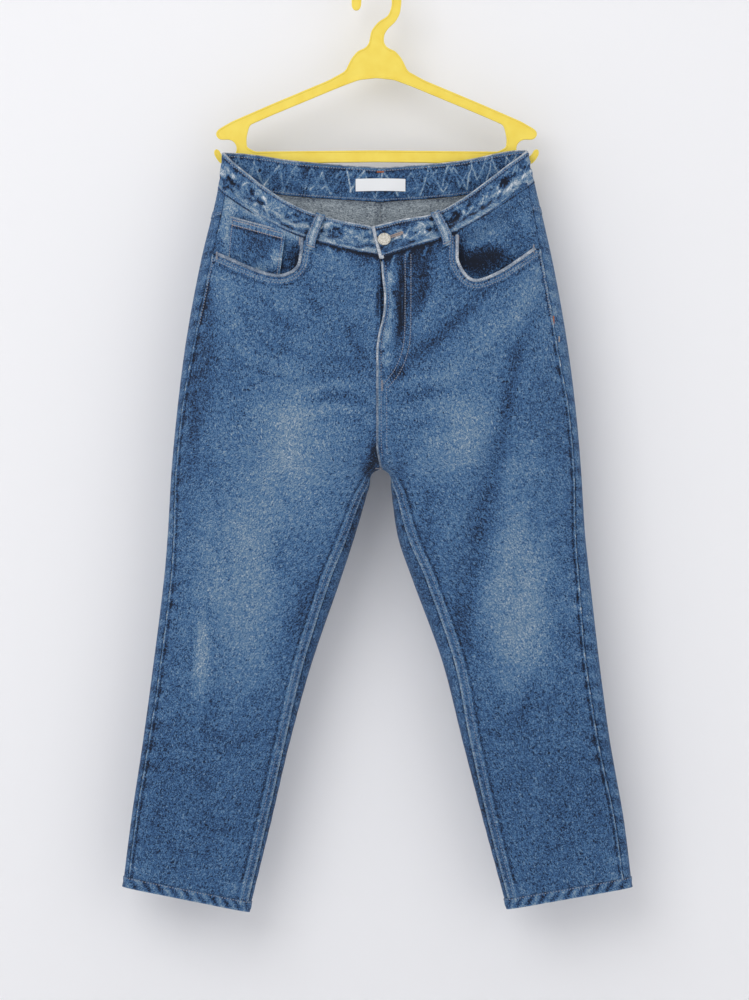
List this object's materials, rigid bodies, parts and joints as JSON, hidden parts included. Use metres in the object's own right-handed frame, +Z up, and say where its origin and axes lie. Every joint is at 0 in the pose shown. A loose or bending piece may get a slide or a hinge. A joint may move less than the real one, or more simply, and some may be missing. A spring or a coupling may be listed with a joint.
{
  "type": "jeans and hanger",
  "caption": "Ankle-length high-rise straight jeans with a lapped waistband and fly, hanging by their side-back belt loops from a moulded hanger.",
  "frame": {"origin": "top of the inside of the hanger's hook, where a rail carries it", "axes": "+Z up along the hanging length; +Y from the jeans' front to their back, the thinnest way through; +X to the viewer's right, the wearer's left"},
  "size_m": [0.6343, 0.0704, 1.166],
  "materials": {
    "denim": "stone-washed blue denim, faded on the thighs and knees",
    "denim_dark": "unworn dark blue denim",
    "denim_pale": "denim worn pale",
    "hanger_plastic": "yellow moulded plastic, soft gloss",
    "button_metal": "antique nickel, satin",
    "label_satin": "white woven satin, bare"
  },
  "bodies": {
    "root": {"front_right": "denim", "front_left": "denim", "back_right": "denim", "back_left": "denim", "yoke_right": "denim", "yoke_left": "denim", "waistband": "denim", "hem_right": "denim", "hem_left": "denim", "back_pocket_right": "denim", "back_pocket_left": "denim", "facing_right": "denim_dark", "facing_left": "denim_dark", "coin_pocket": "denim_dark", "fly_facing": "denim_dark", "zip": "denim_dark", "fly_shield": "denim_dark", "belt_loop_front_right": "denim_pale", "belt_loop_front_left": "denim_pale", "belt_loop_side_right": "denim_pale", "belt_loop_side_left": "denim_pale", "belt_loop_centre_back": "denim_pale", "hanger": "hanger_plastic", "button": "button_metal", "label": "label_satin"}
  },
  "joints": []
}
